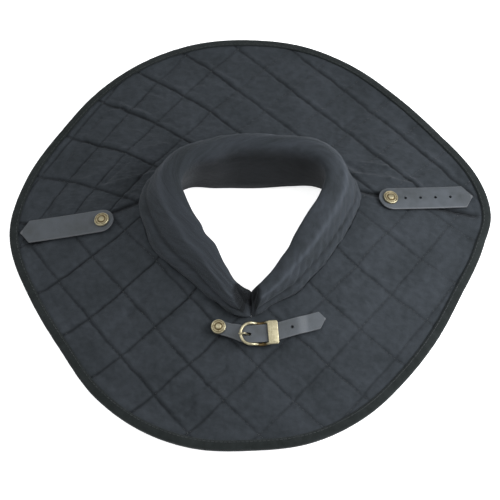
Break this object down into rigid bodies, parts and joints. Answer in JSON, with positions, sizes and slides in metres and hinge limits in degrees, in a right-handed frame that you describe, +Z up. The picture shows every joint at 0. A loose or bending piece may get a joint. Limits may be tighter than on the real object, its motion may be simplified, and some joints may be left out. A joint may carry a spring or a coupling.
{
  "type": "padded collar",
  "caption": "Quilted padded collar: a round mantle with a bound edge, a standing padded neck band, leather shoulder straps and a front strap with a centre-bar buckle.",
  "frame": {"origin": "centre of the base rectangle that the hem rests on, on the floor", "axes": "+X to the right shoulder side in the front view, -Y to the front where the collar fastens, +Z up"},
  "size_m": [0.4762, 0.4695, 0.0701],
  "materials": {
    "quilted_canvas": "matt black cotton canvas, quilted in diamonds",
    "band_canvas": "matt black cotton canvas over padding",
    "binding_tape": "black woven tape, stitched",
    "strap_leather": "black leather worn to grey",
    "antique_brass": "antique brass"
  },
  "bodies": {
    "root": {"front_panel": "quilted_canvas", "back_panel": "quilted_canvas", "neck_band": "band_canvas", "hem_binding": "binding_tape", "side_strap_left": "strap_leather", "side_strap_right": "strap_leather", "front_strap": "strap_leather", "buckle_tab": "strap_leather", "rivet_left": "antique_brass", "rivet_right": "antique_brass", "rivet_front": "antique_brass", "buckle_frame": "antique_brass", "buckle_prong": "antique_brass"}
  },
  "joints": []
}
